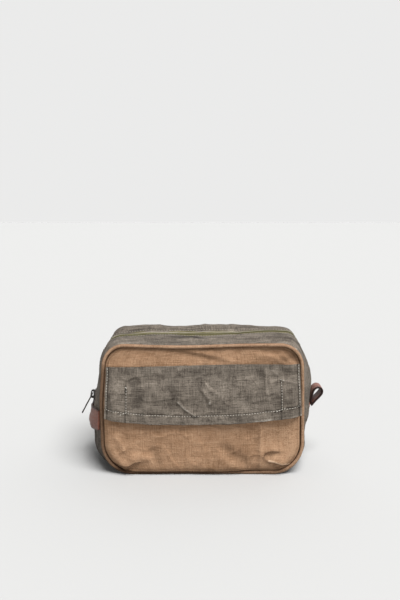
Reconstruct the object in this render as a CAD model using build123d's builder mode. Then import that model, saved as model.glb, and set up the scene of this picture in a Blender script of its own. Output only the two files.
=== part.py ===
"""Shaving kit bag: a zipped box-shaped canvas bag with a front pocket and flap, a leather side
strap, a leather loop and a metal zipper slider. Millimetres, +Z up, front face towards -Y."""

from build123d import *
import math
import os

# --- driving dimensions -------------------------------------------------------------------------
SEAM_HALF_W = 125.0          # half width of the front and back panels at their seams
SEAM_BULGE = 0.6             # how far the panel sides bow out at mid height
SEAM_H = 160.0               # height of the panels
MID_HALF_W_BOTTOM = 138.0    # half width of the gusset at mid depth, on the floor
MID_HALF_W = 143.5           # the same at its widest height
MID_HALF_W_TOP = 127.0       # the same along the top
MID_H = 163.0                # height of the gusset at mid depth
WIDEST_Z = 70.0              # height at which the gusset is widest
BOTTOM_R = 38.0              # lower corner radius
TOP_R = 28.0                 # upper corner radius
SEAM_SIDE_R = 200.0          # easing of the panel's side bow
MID_SIDE_R = 30.0            # easing of the gusset's widest line
HALF_DEPTH = 59.0            # gusset, from mid depth to each panel seam

CANVAS_T = 2.0               # gusset canvas with its filling
PANEL_T = 1.8                # front and back panel canvas
LINING_T = 1.0
BOARD_T = 1.5
BOARD_W = 172.0
BOARD_D = 104.0
BINDING_T = 1.8
BINDING_W = 6.0
SKIN_GAP = 0.1               # between layers sewn to each other
BODY_GAP = 0.4               # between pieces that move apart

PIPING_R = 2.2
PIPING_INSET = 1.2           # piping centre line, in from the panel edge
PIPING_LIFT = 0.2            # clear space under the lower piping, so that the base lies flat

BACK_SPLIT_Z = 82.0          # above this the back half opens
ZIP_SPLIT_Z = 73.0           # lower end of the zipper on both sides
ZIP_BACK_SPLIT_Z = 91.0      # below this the back zipper tape stays with the lower shell
TAPE_HALF_W = 8.0            # from mid depth to the tape's sewn edge
TAPE_T = 1.0
COIL_INNER_Y = 0.85
COIL_OUTER_Y = 2.6
COIL_PROUD = 0.3
COIL_T = 1.8

POCKET_TOP_Z = 95.0
POCKET_INSET = 4.8
POCKET_TAPER = 4.3           # how far the pocket's sides lean in over its depth
POCKET_GAP = 7.5             # inner depth of the pocket
POCKET_T = 1.6
HEM_T = 0.8
HEM_H = 12.0

FLAP_HALF_W = 121.0
FLAP_T = 1.8
FLAP_TOP_Z = 133.0
FLAP_ROOT_H = 8.0            # straight stretch below the flap's sewn top edge
FLAP_BEND_Z = 97.0           # where the flap turns down over the pocket
FLAP_SIDE_Z = 66.0           # lower edge at the sides
FLAP_MID_Z = 62.0            # lower edge at the middle
FLAP_CORNER_R = 4.0
FLAP_ROOT_GAP = 0.3
FLAP_FRONT_GAP = 0.4

SLIDER_Z = 81.0
PLATE_HALF_L = 7.0
PLATE_HALF_W = 5.2
PLATE_TAIL_HALF_W = 3.6
OUTER_PLATE_T = 2.0
OUTER_PLATE_N = 0.9          # outer plate's underside above the tape's face
INNER_PLATE_T = 1.2
INNER_PLATE_N = -2.0         # inner plate's upper side
FLANGE_W = 1.0
FLANGE_H = 0.5
POST_HALF_W = 0.5
POST_L = 3.0
BAIL_HALF_L = 5.5
BAIL_H = 5.2
BAIL_HALF_W = 1.7
BAIL_R = 3.0
BAIL_HOLE_HALF_L = 3.3
BAIL_HOLE_LOW = 1.2
BAIL_HOLE_HIGH = 3.9
BAIL_HOLE_R = 1.3
PIN_R = 0.8
PIN_N = 2.9                  # puller pin above the outer plate
TAB_HALF_W = 4.5
TAB_T = 1.8
TAB_L = 28.5
TAB_WINDOW_HALF_W = 2.1
TAB_WINDOW_L = 6.4
TAB_LEAN_DEG = 28.0          # the puller hangs this far out from upright
TAB_END_R = 2.0

STRAP_T = 2.6
STRAP_W = 25.0
STRAP_END_Z = 66.5           # height of the strap's middle at the seams
STRAP_MID_Z = 57.0           # the same at mid depth, where it droops
STRAP_END_X = 127.3
STRAP_MID_X = 150.6
STRAP_END_Y = 61.5
STRAP_STATIONS = 12

LOOP_W = 20.0
LOOP_CENTRE = (151.4, 87.6)
LOOP_R = 9.4
LOOP_T = 2.6
LOOP_ROOT = (146.6, 76.6)
LOOP_ROOT_R = 2.0
LOOP_HOLE_ROOT = (149.3, 81.6)
LOOP_HOLE_ROOT_R = 1.4
ANCHOR_T = 1.8
ANCHOR_TOP_Z = 73.8
ANCHOR_H = 11.0

STOP_L = 2.4
STOP_ROOM = 4.0              # the lining stops this far below the zipper's ends
STOP_T = 2.6
STOP_HALF_W = 2.2
STOP_SET_IN = 0.8            # clear of the gusset's leaning inner face

# --- worked out from the driving dimensions --------------------------------------------------------
PANEL_FRONT = HALF_DEPTH + PANEL_T
PIPING_Y = PANEL_FRONT + PIPING_R
POCKET_FRONT = PANEL_FRONT + POCKET_GAP + POCKET_T
REACH = 400.0                # larger than the bag, for cutting blocks
RUN_LEAN = math.atan2(MID_HALF_W - MID_HALF_W_TOP, MID_H - WIDEST_Z)
RUN_UP = (math.sin(RUN_LEAN), 0, math.cos(RUN_LEAN))
RUN_OUT = (-math.cos(RUN_LEAN), 0, math.sin(RUN_LEAN))

SEAM_CORNERS = [
    (-SEAM_HALF_W, 0),
    (SEAM_HALF_W, 0),
    (SEAM_HALF_W + SEAM_BULGE, WIDEST_Z),
    (SEAM_HALF_W, SEAM_H),
    (-SEAM_HALF_W, SEAM_H),
    (-SEAM_HALF_W - SEAM_BULGE, WIDEST_Z),
]
MID_CORNERS = [
    (-MID_HALF_W_BOTTOM, 0),
    (MID_HALF_W_BOTTOM, 0),
    (MID_HALF_W, WIDEST_Z),
    (MID_HALF_W_TOP, MID_H),
    (-MID_HALF_W_TOP, MID_H),
    (-MID_HALF_W, WIDEST_Z),
]
SEAM_RADII = [BOTTOM_R, BOTTOM_R, SEAM_SIDE_R, TOP_R, TOP_R, SEAM_SIDE_R]
MID_RADII = [BOTTOM_R, BOTTOM_R, MID_SIDE_R, TOP_R, TOP_R, MID_SIDE_R]


def upright_plane(y):
    """An XZ sketch plane at depth y; extrusions run towards the front, -Y."""
    return Plane(origin=(0, y, 0), x_dir=(1, 0, 0), z_dir=(0, -1, 0))


def mitred(corners, inset):
    """The corners of the same outline moved inwards on every side."""
    moved = []
    for index, corner in enumerate(corners):
        here = Vector(*corner)
        before = (here - Vector(*corners[index - 1])).normalized()
        after = (Vector(*corners[(index + 1) % len(corners)]) - here).normalized()
        normal_before = Vector(-before.Y, before.X)
        normal_after = Vector(-after.Y, after.X)
        step = (normal_before + normal_after) * (inset / (1 + normal_before.dot(normal_after)))
        moved.append(tuple(here + step)[:2])
    return moved


def seam_face(y, inset=0.0):
    """The panel's rounded outline as a face at depth y, moved in by inset."""
    with BuildSketch(upright_plane(y)) as flat:
        with BuildLine():
            radii = [r - inset for r in SEAM_RADII]
            FilletPolyline(*mitred(SEAM_CORNERS, inset), radius=radii, close=True)
        make_face()
    return flat.sketch


def mid_face(y, inset=0.0):
    """The gusset's outline at mid depth as a face at depth y, moved in by inset."""
    with BuildSketch(upright_plane(y)) as flat:
        with BuildLine():
            radii = [r - inset for r in MID_RADII]
            FilletPolyline(*mitred(MID_CORNERS, inset), radius=radii, close=True)
        make_face()
    return flat.sketch


def shell(outer_inset, thickness):
    """A tube round the bag: seam outline, mid outline over the zipper band, seam outline."""
    with BuildPart() as tube:
        for inset, mode in ((outer_inset, Mode.ADD), (outer_inset + thickness, Mode.SUBTRACT)):
            for side in (-1, 1):
                ends = [seam_face(side * HALF_DEPTH, inset), mid_face(side * TAPE_HALF_W, inset)]
                loft(ends, ruled=True, mode=mode)
            extrude(mid_face(TAPE_HALF_W, inset), amount=2 * TAPE_HALF_W, mode=mode)
    return tube.part


def block(y_low, y_high, z_low, z_high, x_low=-REACH, x_high=REACH):
    """A cutting block between two depths and two heights."""
    size = (x_high - x_low, y_high - y_low, z_high - z_low)
    middle = ((x_high + x_low) / 2, (y_high + y_low) / 2, (z_high + z_low) / 2)
    return Pos(*middle) * Box(*size)


def finish(builder, label):
    """Labels the piece and writes it as its own STEP file."""
    builder.part.label = label
    export_step(builder.part, f"parts/{label}.step")


def cut_from(source, region, label):
    """One piece: what the source holds inside a region."""
    with BuildPart() as piece:
        add(source)
        add(region, mode=Mode.INTERSECT)
    finish(piece, label)


os.makedirs("parts", exist_ok=True)

# --- gusset, lining and zipper tube -----------------------------------------------------------------
BELOW_FRONT = block(-REACH, TAPE_HALF_W, -REACH, ZIP_SPLIT_Z)
BELOW_BACK = block(TAPE_HALF_W, REACH, -REACH, BACK_SPLIT_Z)
LOWER_REGION = BELOW_FRONT + BELOW_BACK
LINING_LOWER_REGION = LOWER_REGION - block(-REACH, TAPE_HALF_W, ZIP_SPLIT_Z - STOP_ROOM, REACH)
FRONT_REGION = block(-REACH, -TAPE_HALF_W, ZIP_SPLIT_Z, REACH)
BACK_REGION = block(TAPE_HALF_W, REACH, BACK_SPLIT_Z + BODY_GAP, REACH)

gusset_tube = shell(0.0, CANVAS_T)
cut_from(gusset_tube, LOWER_REGION, "bottom_gusset")
cut_from(gusset_tube, FRONT_REGION, "zip_gusset_front")
cut_from(gusset_tube, BACK_REGION, "zip_gusset_back")

lining_tube = shell(CANVAS_T + SKIN_GAP, LINING_T)
cut_from(lining_tube, LINING_LOWER_REGION, "lining_gusset_lower")
cut_from(lining_tube, FRONT_REGION, "lining_gusset_front")
cut_from(lining_tube, BACK_REGION, "lining_gusset_back")

# --- zipper tapes and coils: the front half is whole, the back half opens above its split ------------
tape_tube = shell(0.0, TAPE_T)
coil_tube = shell(-COIL_PROUD, COIL_T)
cut_from(tape_tube, block(-TAPE_HALF_W, -COIL_OUTER_Y, ZIP_SPLIT_Z, REACH), "zipper_tape_front")
cut_from(coil_tube, block(-COIL_OUTER_Y, -COIL_INNER_Y, ZIP_SPLIT_Z, REACH), "zipper_coil_front")
BACK_HALF_START = ZIP_BACK_SPLIT_Z + BODY_GAP
cut_from(tape_tube, block(COIL_OUTER_Y, TAPE_HALF_W, BACK_HALF_START, REACH), "zipper_tape_back")
cut_from(coil_tube, block(COIL_INNER_Y, COIL_OUTER_Y, BACK_HALF_START, REACH), "zipper_coil_back")
for side_name, x_low, x_high in (("left", -REACH, 0), ("right", 0, REACH)):
    heights = (ZIP_SPLIT_Z, ZIP_BACK_SPLIT_Z)
    tape_end = block(COIL_OUTER_Y, TAPE_HALF_W - BODY_GAP, *heights, x_low, x_high)
    coil_end = block(COIL_INNER_Y, COIL_OUTER_Y, *heights, x_low, x_high)
    cut_from(tape_tube, tape_end, f"zipper_tape_back_{side_name}_end")
    cut_from(coil_tube, coil_end, f"zipper_coil_back_{side_name}_end")


# --- panels, their linings, bindings and piping -----------------------------------------------------
def sheet(y_back, thickness, inset, ring_width=0.0):
    """A flat sheet of the panel's outline, or a ring of it, with its back at y_back."""
    with BuildPart() as flat:
        extrude(seam_face(y_back, inset), amount=thickness)
        if ring_width:
            extrude(seam_face(y_back, inset + ring_width), amount=thickness, mode=Mode.SUBTRACT)
    return flat.part


def piping_ring(y):
    """The round piping that edges a panel."""
    with BuildPart() as ring:
        with BuildLine(upright_plane(y)) as path:
            lowest = PIPING_R + PIPING_LIFT
            corners = [(x, max(z, lowest)) for x, z in mitred(SEAM_CORNERS, PIPING_INSET)]
            FilletPolyline(*corners, radius=[r - PIPING_INSET for r in SEAM_RADII], close=True)
        start = path.line @ 0
        with BuildSketch(Plane(origin=start, z_dir=path.line % 0)):
            Circle(PIPING_R)
        sweep(path=path.wire())
    return ring.part


LAYER_INSET = CANVAS_T + LINING_T + 2 * SKIN_GAP
EVERYWHERE = block(-REACH, REACH, -REACH, REACH)
BACK_LOW = block(-REACH, REACH, -REACH, BACK_SPLIT_Z)
BACK_HIGH = block(-REACH, REACH, BACK_SPLIT_Z + BODY_GAP, REACH)

cut_from(sheet(-HALF_DEPTH, PANEL_T, 0), EVERYWHERE, "front_panel")
cut_from(sheet(-HALF_DEPTH + LINING_T, LINING_T, LAYER_INSET), EVERYWHERE, "lining_front")
binding_back_y = -HALF_DEPTH + LINING_T + BINDING_T
cut_from(sheet(binding_back_y, BINDING_T, LAYER_INSET, BINDING_W), EVERYWHERE, "binding_front")
cut_from(piping_ring(-PIPING_Y), EVERYWHERE, "piping_front")

back_panel = sheet(PANEL_FRONT, PANEL_T, 0)
back_lining = sheet(HALF_DEPTH, LINING_T, LAYER_INSET)
back_binding = sheet(HALF_DEPTH - LINING_T, BINDING_T, LAYER_INSET, BINDING_W)
back_piping = piping_ring(PIPING_Y)
for part_name, region in (("lower", BACK_LOW), ("upper", BACK_HIGH)):
    cut_from(back_panel, region, f"back_panel_{part_name}")
    cut_from(back_lining, region, f"lining_back_{part_name}")
    cut_from(back_binding, region, f"binding_back_{part_name}")
    cut_from(back_piping, region, f"piping_back_{part_name}")

with BuildPart() as base_board:
    with BuildSketch(Plane.XY.offset(LAYER_INSET)):
        RectangleRounded(BOARD_W, BOARD_D, 2 * BOARD_T)
    extrude(amount=BOARD_T)
finish(base_board, "base_board")

# --- front pocket and its hem -----------------------------------------------------------------------
UNDER_POCKET_TOP = block(-REACH, REACH, -REACH, POCKET_TOP_Z)
with BuildPart() as pocket_panel:
    for wall, depth, mode in (
        (0.0, POCKET_GAP + POCKET_T, Mode.ADD),
        (POCKET_T, POCKET_GAP, Mode.SUBTRACT),
    ):
        at_panel = seam_face(-PANEL_FRONT, POCKET_INSET + wall)
        at_front = seam_face(-PANEL_FRONT - depth, POCKET_INSET + POCKET_TAPER + wall)
        loft([at_panel, at_front], ruled=True, mode=mode)
    add(UNDER_POCKET_TOP, mode=Mode.INTERSECT)
finish(pocket_panel, "pocket_panel")

hem_width = 2 * (SEAM_HALF_W - POCKET_INSET - POCKET_TAPER - POCKET_T)
with BuildPart() as pocket_hem:
    with BuildSketch(upright_plane(-POCKET_FRONT)):
        with Locations((0, POCKET_TOP_Z - HEM_H / 2)):
            Rectangle(hem_width, HEM_H)
    extrude(amount=HEM_T)
finish(pocket_hem, "pocket_hem")

# --- front flap: sewn along its top edge, bent out over the pocket ------------------------------------
flap_root_y = -(PANEL_FRONT + FLAP_ROOT_GAP)
flap_front_y = -(POCKET_FRONT + HEM_T + FLAP_FRONT_GAP)
flap_bend_start = FLAP_TOP_Z - FLAP_ROOT_H
with BuildPart() as pocket_flap:
    with BuildSketch(Plane.YZ.offset(-FLAP_HALF_W)):
        with BuildLine():
            Polyline(
                (flap_root_y, FLAP_TOP_Z),
                (flap_root_y, flap_bend_start),
                (flap_front_y, FLAP_BEND_Z),
                (flap_front_y, 0),
                (flap_front_y - FLAP_T, 0),
                (flap_front_y - FLAP_T, FLAP_BEND_Z),
                (flap_root_y - FLAP_T, flap_bend_start),
                (flap_root_y - FLAP_T, FLAP_TOP_Z),
                close=True,
            )
        make_face()
    extrude(amount=2 * FLAP_HALF_W)
    with BuildSketch(upright_plane(0)) as flap_shape:
        with BuildLine():
            hem = ThreePointArc((-FLAP_HALF_W, FLAP_SIDE_Z), (0, FLAP_MID_Z), (FLAP_HALF_W, FLAP_SIDE_Z))
            Polyline(hem @ 1, (FLAP_HALF_W, FLAP_TOP_Z), (-FLAP_HALF_W, FLAP_TOP_Z), hem @ 0)
        make_face()
        fillet(flap_shape.vertices().group_by(Axis.Y)[0], radius=FLAP_CORNER_R)
    extrude(flap_shape.sketch, amount=REACH, mode=Mode.INTERSECT)
finish(pocket_flap, "pocket_flap")

# --- zipper slider, bail and puller, on the left side's straight run ---------------------------------
slider_x = -(MID_HALF_W - (SLIDER_Z - WIDEST_Z) * math.tan(RUN_LEAN))
SLIDER_PLANE = Plane(origin=(slider_x, 0, SLIDER_Z), x_dir=RUN_UP, z_dir=RUN_OUT)
PLATE_SHAPE = [
    (-PLATE_HALF_L, -PLATE_HALF_W),
    (0, -PLATE_HALF_W),
    (PLATE_HALF_L, -PLATE_TAIL_HALF_W),
    (PLATE_HALF_L, PLATE_TAIL_HALF_W),
    (0, PLATE_HALF_W),
    (-PLATE_HALF_L, PLATE_HALF_W),
]
with BuildPart() as slider_body:
    for plate_n, plate_t in ((OUTER_PLATE_N, OUTER_PLATE_T), (INNER_PLATE_N - INNER_PLATE_T, INNER_PLATE_T)):
        with BuildSketch(SLIDER_PLANE.offset(plate_n)):
            with BuildLine():
                FilletPolyline(*PLATE_SHAPE, radius=1.5, close=True)
            make_face()
        extrude(amount=plate_t)
    for flange_n in (OUTER_PLATE_N - FLANGE_H, INNER_PLATE_N):
        with BuildSketch(SLIDER_PLANE.offset(flange_n)):
            for side in (-1, 1):
                with Locations((-PLATE_HALF_L / 2, side * (PLATE_HALF_W - FLANGE_W / 2))):
                    Rectangle(PLATE_HALF_L - FLANGE_W, FLANGE_W)
        extrude(amount=FLANGE_H)
    with BuildSketch(SLIDER_PLANE.offset(INNER_PLATE_N)):
        with Locations((-PLATE_HALF_L + POST_L, 0)):
            Rectangle(POST_L, 2 * POST_HALF_W)
    extrude(amount=OUTER_PLATE_N - INNER_PLATE_N)
finish(slider_body, "slider_body")

plate_top = OUTER_PLATE_N + OUTER_PLATE_T
BAIL_SIDE = Plane(
    origin=SLIDER_PLANE.from_local_coords((0, BAIL_HALF_W, plate_top)),
    x_dir=RUN_UP,
    z_dir=(0, -1, 0),
)
with BuildPart() as slider_bail:
    with BuildSketch(BAIL_SIDE):
        with Locations((0, BAIL_H / 2)):
            Rectangle(2 * BAIL_HALF_L, BAIL_H)
    extrude(amount=2 * BAIL_HALF_W)
    outer_edges = slider_bail.edges().filter_by(Axis.Y).sort_by(Axis.X)[:2]
    fillet(outer_edges, radius=BAIL_R)
    with BuildSketch(BAIL_SIDE):
        with Locations((0, (BAIL_HOLE_LOW + BAIL_HOLE_HIGH) / 2)):
            RectangleRounded(2 * BAIL_HOLE_HALF_L, BAIL_HOLE_HIGH - BAIL_HOLE_LOW, BAIL_HOLE_R)
    extrude(amount=2 * BAIL_HALF_W, mode=Mode.SUBTRACT)
finish(slider_bail, "slider_bail")

pin_at = SLIDER_PLANE.from_local_coords((0, 0, plate_top + PIN_N))
tab_lean = math.radians(TAB_LEAN_DEG)
TAB_PLANE = Plane(
    origin=pin_at,
    x_dir=(-math.sin(tab_lean), 0, -math.cos(tab_lean)),
    z_dir=(-math.cos(tab_lean), 0, math.sin(tab_lean)),
)
with BuildPart() as pull_tab:
    with BuildSketch(TAB_PLANE.offset(-TAB_T / 2)) as tab_shape:
        with Locations((TAB_L / 2, 0)):
            Rectangle(TAB_L, 2 * TAB_HALF_W)
        fillet(tab_shape.vertices(), radius=TAB_END_R)
        with Locations((TAB_WINDOW_L / 2, 0)):
            Rectangle(TAB_WINDOW_L, 2 * TAB_WINDOW_HALF_W, mode=Mode.SUBTRACT)
    extrude(amount=TAB_T)
    with BuildSketch(Plane(origin=pin_at, z_dir=(0, 1, 0)).offset(-TAB_HALF_W)):
        Circle(PIN_R)
    extrude(amount=2 * TAB_HALF_W)
finish(pull_tab, "pull_tab")

for side_name, side in (("left", -1), ("right", 1)):
    stop_x = side * (MID_HALF_W - CANVAS_T - STOP_SET_IN - STOP_T / 2)
    with BuildPart() as zipper_stop:
        with BuildSketch(Plane.XY.offset(ZIP_SPLIT_Z - STOP_L)):
            with Locations((stop_x, 0)):
                Rectangle(STOP_T, 2 * STOP_HALF_W)
        extrude(amount=STOP_L)
    finish(zipper_stop, f"zipper_stop_{side_name}")

# --- leather side strap: seam to seam, bowed out clear of the gusset ----------------------------------
strap_sag = STRAP_MID_X - STRAP_END_X
strap_r = (STRAP_END_Y**2 + strap_sag**2) / (2 * strap_sag)
strap_half_angle = math.asin(STRAP_END_Y / strap_r)
with BuildPart() as side_strap:
    sections = []
    for station in range(STRAP_STATIONS + 1):
        share = 2 * station / STRAP_STATIONS - 1
        turn = share * strap_half_angle
        centre = (
            -(STRAP_MID_X - strap_r + strap_r * math.cos(turn)),
            strap_r * math.sin(turn),
            STRAP_MID_Z + (STRAP_END_Z - STRAP_MID_Z) * share**2,
        )
        facing = (math.sin(turn), math.cos(turn), 0)
        outward = (-math.cos(turn), math.sin(turn), 0)
        with BuildSketch(Plane(origin=centre, x_dir=outward, z_dir=facing)) as strap_section:
            Rectangle(STRAP_T, STRAP_W)
        sections.append(strap_section.sketch)
    loft(sections, ruled=True)
finish(side_strap, "side_strap")

# --- leather loop at the zipper's other end, and its sewn anchor --------------------------------------
with BuildPart() as leather_loop:
    with BuildSketch(upright_plane(LOOP_W / 2)):
        with Locations(LOOP_CENTRE):
            Circle(LOOP_R)
        with Locations(LOOP_ROOT):
            Circle(LOOP_ROOT_R)
        make_hull()
    extrude(amount=LOOP_W)
    with BuildSketch(upright_plane(LOOP_W / 2)) as loop_hole:
        with Locations(LOOP_CENTRE):
            Circle(LOOP_R - LOOP_T)
        with Locations(LOOP_HOLE_ROOT):
            Circle(LOOP_HOLE_ROOT_R)
        make_hull()
    extrude(loop_hole.sketch, amount=LOOP_W, mode=Mode.SUBTRACT)
finish(leather_loop, "leather_loop")

anchor_lean = math.atan2(MID_HALF_W - MID_HALF_W_BOTTOM, WIDEST_Z)
anchor_x = MID_HALF_W + SKIN_GAP
with BuildPart() as loop_anchor:
    with BuildSketch(upright_plane(LOOP_W / 2)):
        with BuildLine():
            low_z = ANCHOR_TOP_Z - ANCHOR_H
            low_x = anchor_x - (WIDEST_Z - low_z) * math.tan(anchor_lean)
            Polyline(
                (anchor_x, ANCHOR_TOP_Z),
                (anchor_x, WIDEST_Z),
                (low_x, low_z),
                (low_x + ANCHOR_T, low_z),
                (anchor_x + ANCHOR_T, WIDEST_Z),
                (anchor_x + ANCHOR_T, ANCHOR_TOP_Z),
                close=True,
            )
        make_face()
    extrude(amount=LOOP_W)
finish(loop_anchor, "loop_anchor")
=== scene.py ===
"""Shaving kit bag in waxed canvas: visual model, materials, light and camera round the CAD frame."""
import math
import random

import bmesh
import bpy
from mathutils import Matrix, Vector, noise


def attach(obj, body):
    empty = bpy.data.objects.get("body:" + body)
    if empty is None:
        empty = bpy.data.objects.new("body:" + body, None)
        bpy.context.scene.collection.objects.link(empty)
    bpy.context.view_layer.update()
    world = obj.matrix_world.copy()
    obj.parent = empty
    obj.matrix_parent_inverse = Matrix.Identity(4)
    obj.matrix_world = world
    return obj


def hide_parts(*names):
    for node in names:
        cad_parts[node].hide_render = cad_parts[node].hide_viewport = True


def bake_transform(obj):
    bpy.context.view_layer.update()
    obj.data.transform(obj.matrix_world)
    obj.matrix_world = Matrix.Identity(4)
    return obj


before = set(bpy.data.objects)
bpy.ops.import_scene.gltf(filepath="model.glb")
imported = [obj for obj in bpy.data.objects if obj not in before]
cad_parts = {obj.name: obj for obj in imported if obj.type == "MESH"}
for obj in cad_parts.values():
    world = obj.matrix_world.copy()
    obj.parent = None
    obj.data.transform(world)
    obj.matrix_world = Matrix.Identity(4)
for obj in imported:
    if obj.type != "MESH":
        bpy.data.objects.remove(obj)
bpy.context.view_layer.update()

MM = 0.001
TAU = 2 * math.pi
DG = bpy.context.evaluated_depsgraph_get

# --- the bag's sizes in millimetres, as the CAD has them --
HALF_DEPTH = 59.0
PANEL_FACE = 60.8
PIPING_Y = 62.7
PIPING_R = 2.1
PIPING_INSET = 1.2           # in from the panel's edge
BINDING_Y = 57.0
BINDING_INSET = 6.4
BINDING_R = 3.0
TAPE_HALF = 8.0
FABRIC_EDGE = 8.3            # the folded canvas edge beside the zipper, from mid depth
ZIP_END_Z = 73.0
FRONT_RISE = 1.0125          # the front seam stands a little tall, the back one sags
BACK_RISE = 0.972
SEAM = [(-125, 0), (125, 0), (125.6, 104), (125, 160), (-124.2, 160), (-128.4, 90)]
SEAM_R = [38, 38, 200, 28, 28, 200]
MID = [(-141.5, 0), (129, 0), (142.5, 104), (121.5, 162), (-121, 162), (-143.2, 70)]
MID_R = [28, 34, 36, 16, 15, 40]
ARC_STEPS = [14, 14, 6, 14, 14, 6]
RUN_STEPS = [70, 20, 16, 76, 26, 12]
LEFT_RUN_X = 143.5           # the slider's straight run on the left end: half width at one height,
LEFT_RUN_Z = 70.0            # and how fast it leans in above that
LEFT_RUN_SLOPE = 0.1774
FLAP_TOP = 133.0
POCKET_TOP = 95.0
SEAM_H = 160.0
CANVAS_T = 1.8               # thicknesses of the sheets
PANEL_T = 1.6
POCKET_T = 1.4
FLAP_T = 0.75                # each of the flap's two layers
LINING_T = 0.8
TAPE_T = 0.7

random.seed(7)


# --- small maths ------------------------------------------
def smooth(low, high, x):
    t = min(max((x - low) / (high - low), 0.0), 1.0)
    return t * t * (3 - 2 * t)


def bump(x, centre, width):
    return math.exp(-((x - centre) / width) ** 2)


def mix(a, b, t):
    return a + (b - a) * t


OCTAVES = 3


def fbm(x, y, z, size):
    """Smooth noise of about -1 to 1 whose largest features are size mm apart."""
    total = 0.0
    for k in range(OCTAVES):
        f = 2 ** k / size
        total += noise.noise(Vector((x * f, y * f, z * f + 7.3 * k))) / 2 ** k
    return total


def ridge(x, y, z, size):
    """Noise with sharp crests, 0 to 1, like the breaks in stiff waxed cloth."""
    n = noise.noise(Vector((x / size, y / size, z / size)))
    return max(0.0, 1 - 5 * abs(n)) ** 2


def nearest(x, z, points):
    """The nearest place on a line of points: its distance, the signed offset there, and how far along."""
    best = (math.inf, 0.0, 0.0)
    length = 0.0
    for (ax, az), (bx, bz) in zip(points, points[1:]):
        dx, dz = bx - ax, bz - az
        run = math.hypot(dx, dz)
        t = min(max(((x - ax) * dx + (z - az) * dz) / run ** 2, 0), 1)
        d = math.hypot(x - ax - t * dx, z - az - t * dz)
        if d < best[0]:
            best = (d, (dx * (z - az) - dz * (x - ax)) / run, length + t * run)
        length += run
    return best[0], best[1], best[2] / length


def crease(x, z, points, width, reach):
    """Signed shape of a fold along a line of points: +1 just above it, -1 just below, fading."""
    d, side, along = nearest(x, z, points)
    ends = math.sin(math.pi * min(max(along, 0.04), 0.96)) ** 0.6
    return math.tanh(side / width) * math.exp(-(d / reach) ** 2) * ends


def fold(x, z, points, width):
    """A ridge along a line of points, 0 to 1."""
    return bump(nearest(x, z, points)[0], 0, width)


def creased(x, z, creases):
    """Creases added up; each is (height, line, width, reach)."""
    return sum(height * crease(x, z, line, width, reach) for height, line, width, reach in creases)


def folded(x, z, folds):
    """Folds added up; each is (height, line, width)."""
    return sum(height * fold(x, z, line, width) for height, line, width in folds)


def rounded(corners, radii, inset=0.0):
    """Points round a rounded outline, the same number for every outline."""
    count = len(corners)
    cut = []
    for i in range(count):
        before, here, after = (Vector(corners[(i + k) % count]) for k in (-1, 0, 1))
        a, b = (here - before).normalized(), (after - here).normalized()
        na, nb = Vector((-a.y, a.x)), Vector((-b.y, b.x))
        moved = here + (na + nb) * (inset / (1 + na.dot(nb)))
        turn = math.acos(max(-1, min(1, a.dot(b))))
        r = radii[i] - inset
        tangent = r * math.tan(turn / 2)
        cut.append((moved - a * tangent, moved + b * tangent, na, r, turn))
    points = []
    for i, (start, end, na, r, turn) in enumerate(cut):
        centre = start + na * r
        first = math.atan2(-na.y, -na.x)
        for k in range(ARC_STEPS[i]):
            angle = first + turn * k / ARC_STEPS[i]
            points.append(centre + Vector((math.cos(angle), math.sin(angle))) * r)
        following = cut[(i + 1) % count][0]
        for k in range(RUN_STEPS[i]):
            points.append(end.lerp(following, k / RUN_STEPS[i]))
    return points


def edge_normals(points):
    count = len(points)
    found = []
    for i in range(count):
        d = points[(i + 1) % count] - points[i - 1]
        found.append(Vector((d.y, -d.x)).normalized())
    return found


SEAM_RING = rounded(SEAM, SEAM_R)
MID_RING = rounded(MID, MID_R)
SEAM_NORMALS = edge_normals(SEAM_RING)
MID_NORMALS = edge_normals(MID_RING)
RING = len(SEAM_RING)
ZIP_FIRST = next(i for i in range(RING) if MID_RING[i].x > 100 and MID_RING[i].y >= ZIP_END_Z)
ZIP_LAST = max(i for i in range(RING) if MID_RING[i].x < -100 and MID_RING[i].y >= ZIP_END_Z)
ZIP_RANGE = list(range(ZIP_FIRST, ZIP_LAST + 1))
LOW_RANGE = [i % RING for i in range(ZIP_LAST, RING + ZIP_FIRST + 1)]


def seam_height(x, z, y):
    """The height a flat seam line takes on the bag: the front sags by the middle, the back all along."""
    if y > 0:
        return z * BACK_RISE
    return z * FRONT_RISE - 2.6 * bump(x, -30, 62) * smooth(118, 160, z)


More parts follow.
